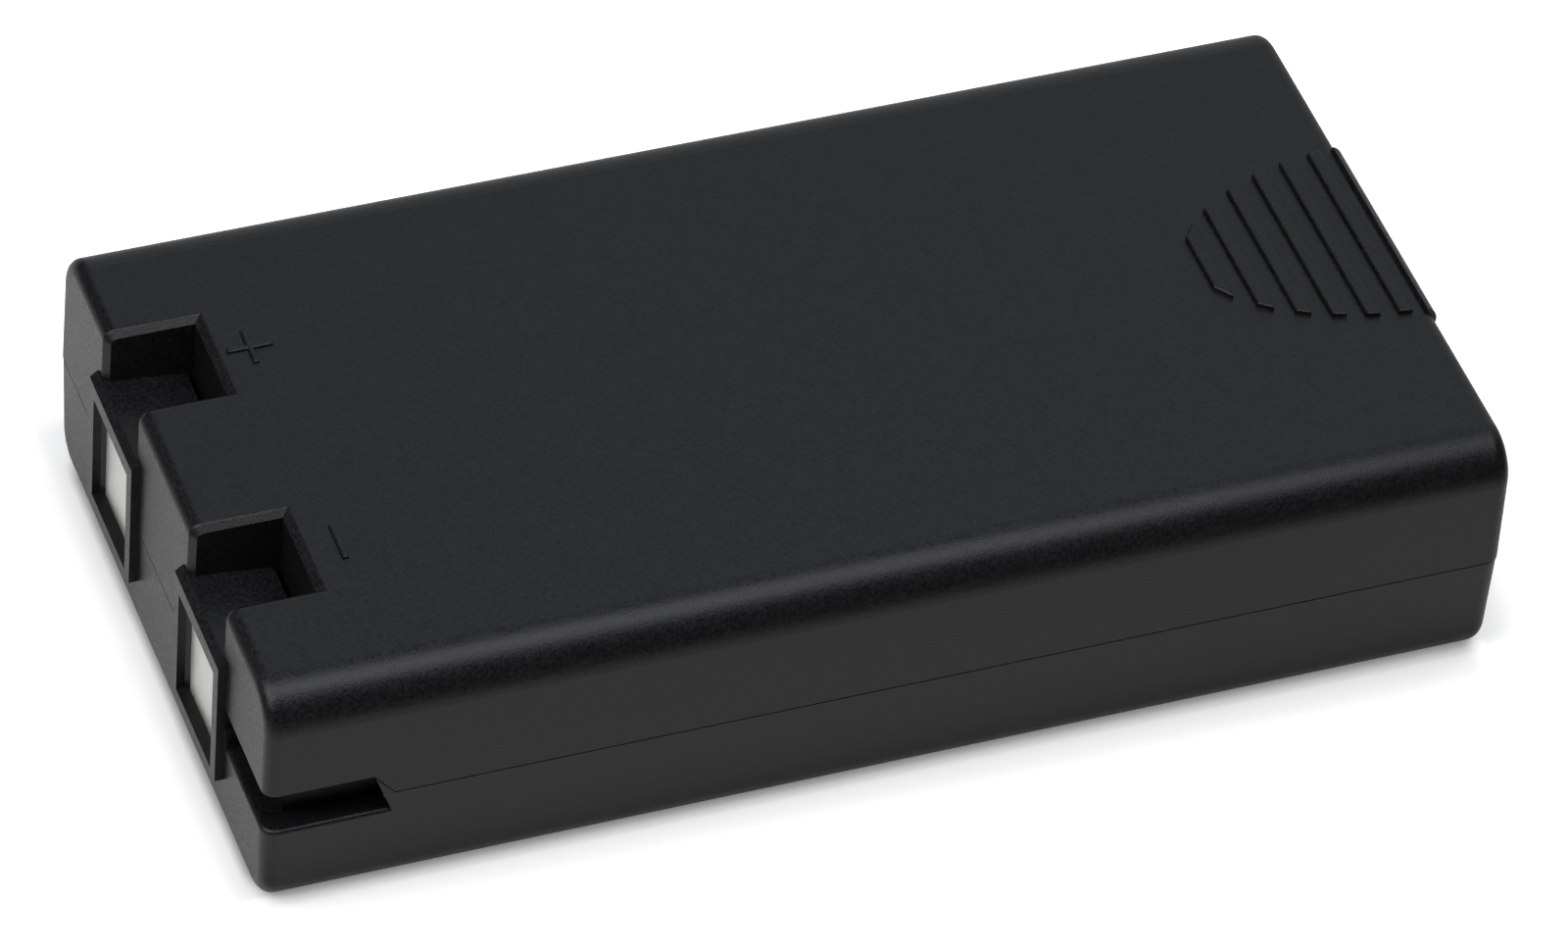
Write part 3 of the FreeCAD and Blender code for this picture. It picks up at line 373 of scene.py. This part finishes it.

# What the camera loses: a painted shadow at the foot of the contacts' end, which stands behind the
# frames, faded out before the two rounded corners.
seen = combine(tree, "MAXIMUM", path["Is Camera Ray"], path["Is Transmission Ray"])
painted_shade = combine(tree, "MULTIPLY",
                ramp(tree, leftward, start=left_line - 0.00125, end=left_line - 0.00005,
                     low=0.58, high=0.0),
                ramp(tree, leftward, start=left_line - 0.0016, end=left_line - 0.0012,
                     low=0.0, high=1.0))
no_shade_within, full_shade_past = 0.0015, 0.005
for line, inward in ((front_line, -1.0), (back_line, 1.0)):
    fade = ramp(tree, ahead, start=line + inward * no_shade_within,
                end=line + inward * full_shade_past, low=0.0, high=1.0)
    painted_shade = combine(tree, "MULTIPLY", painted_shade, fade)
painted_shade_seen = combine(tree, "MULTIPLY", seen, painted_shade)

# What the camera gains: white away from the battery, with painted light that ends the shadow sooner
# at its two ends than in front, and painted light that softens the start of the shadow under the
# rounded front edge.
painted_light_under_edge = combine(tree, "MULTIPLY",
                     ramp(tree, ahead, start=front_line - 0.0019, end=front_line - 0.0013,
                          low=0.0, high=0.12),
                     ramp(tree, ahead, start=front_line - 0.0012, end=front_line - 0.0003,
                          low=1.0, high=0.0))
backdrop_white_and_painted_light = combine(tree, "MULTIPLY", painted_light_under_edge,
               ramp(tree, beside, start=0.0, end=0.0003, low=1.0, high=0.0))
for white_and_painted_gain in (ramp(tree, beside, start=0.001, end=0.007, low=0.2, high=0.5),
             ramp(tree, leftward, start=left_line, end=left_line + 0.0015, low=0.0, high=0.1),
             ramp(tree, leftward, start=right_line, end=right_line + 0.002, low=0.2, high=0.0)):
    backdrop_white_and_painted_light = combine(tree, "ADD", backdrop_white_and_painted_light, white_and_painted_gain)
clear = combine(tree, "MULTIPLY", combine(tree, "SUBTRACT", seen, painted_shade_seen), backdrop_white_and_painted_light)
# Painted shadow and darkness: the table's colour goes towards black by these amounts, in
# reflections far off in front and at the front's foot, and for the camera at the contacts' end.
free_of_painted_shade = combine(tree, "SUBTRACT", 1.0, combine(tree, "ADD", painted_dark_in_reflections, painted_shade_seen))
mirror_glow = 0.02
mirrored = combine(tree, "MULTIPLY", path["Is Glossy Ray"], free_of_painted_shade)
mirrored = combine(tree, "MULTIPLY", mirrored, mirror_glow)
feed(tree, shader,
     Base_Color=blend_colours(tree, free_of_painted_shade, dark=(0.0, 0.0, 0.0), pale=(0.857, 0.857, 0.857)),
     Roughness=0.9,
     Specular_IOR_Level=0.1,
     Emission_Color=(1.0, 1.0, 1.0, 1.0),
     Emission_Strength=combine(tree, "ADD", clear, mirrored))
table_mesh.materials.append(paint)
table_top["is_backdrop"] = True

# Light: a long soft box over the table, more to the left and front of the battery, and two
# dimmer ones, behind it to the right and at its left end, in a dim room.


def soft_box(name, centre, across, along, width, length, glow, tint=(1.0, 1.0, 1.0)):
    """A flat lamp of even glow, spread over two directions at right angles from its centre."""
    across = Vector(across).normalized()
    along = Vector(along).normalized()
    lamp = bpy.data.lights.new(name, "AREA")
    lamp.shape = "RECTANGLE"
    lamp.size = width
    lamp.size_y = length
    lamp.energy = glow * math.pi * width * length
    lamp.color = tint
    box = bpy.data.objects.new(name, lamp)
    turn = Matrix((across, along, across.cross(along))).transposed().to_4x4()
    box.matrix_world = Matrix.Translation(centre) @ turn
    bpy.context.scene.collection.objects.link(box)


box_height = 0.3
box_left, box_right, box_front, box_back = (
    box_height * math.tan(math.radians(angle)) for angle in (-58.0, 30.0, -30.0, 4.0))
soft_box("overhead_soft_box",
         centre=((box_left + box_right) / 2, (box_front + box_back) / 2, box_height),
         across=(1.0, 0.0, 0.0), along=(0.0, 1.0, 0.0),
         width=box_right - box_left, length=box_back - box_front, glow=3.4)


def side_box(name, bearing, rise, distance, **lamp):
    """A soft box that faces the battery from a bearing, clockwise from the back, and a rise."""
    bearing, rise = math.radians(bearing), math.radians(rise)
    outward = Vector((math.sin(bearing) * math.cos(rise), math.cos(bearing) * math.cos(rise),
                      math.sin(rise)))
    sideways = Vector((math.cos(bearing), -math.sin(bearing), 0.0))
    soft_box(name, outward * distance, sideways, outward.cross(sideways), **lamp)


side_box("back_soft_box", bearing=37.0, rise=31.5, distance=0.8, width=1.0, length=0.92,
         glow=0.64, tint=(0.90, 0.95, 1.0))
side_box("left_soft_box", bearing=-95.0, rise=45.0, distance=0.7, width=0.6, length=0.5,
         glow=1.7)
room = bpy.data.worlds.new("dim_room")
room.use_nodes = True
feed(room.node_tree, room.node_tree.nodes["Background"],
     Color=(1.0, 1.0, 1.0, 1.0), Strength=0.06)
bpy.context.scene.world = room

# Camera: a long lens high above the front left corner, rolled a little to the side and aimed
# just off the middle of the battery's foot.
camera_azimuth = math.radians(-23.463)
camera_elevation = math.radians(43.584)
camera_roll = math.radians(5.263)
camera_distance = 0.7535
aim_right = 0.001248
aim_up = 0.005829
back = Vector((math.sin(camera_azimuth) * math.cos(camera_elevation),
               -math.cos(camera_azimuth) * math.cos(camera_elevation),
               math.sin(camera_elevation)))
level = Vector((math.cos(camera_azimuth), math.sin(camera_azimuth), 0.0))
upright = back.cross(level)
right = math.cos(camera_roll) * level + math.sin(camera_roll) * upright
up = -math.sin(camera_roll) * level + math.cos(camera_roll) * upright
lens = bpy.data.cameras.new("camera")
lens.sensor_width = 36.0
lens.lens = 212.55
camera = bpy.data.objects.new("camera", lens)
stand = Matrix.Translation(back * camera_distance + right * aim_right + up * aim_up)
camera.matrix_world = stand @ Matrix((right, up, back)).transposed().to_4x4()
bpy.context.scene.collection.objects.link(camera)
bpy.context.scene.camera = camera
bpy.context.scene.view_settings.view_transform = "Standard"
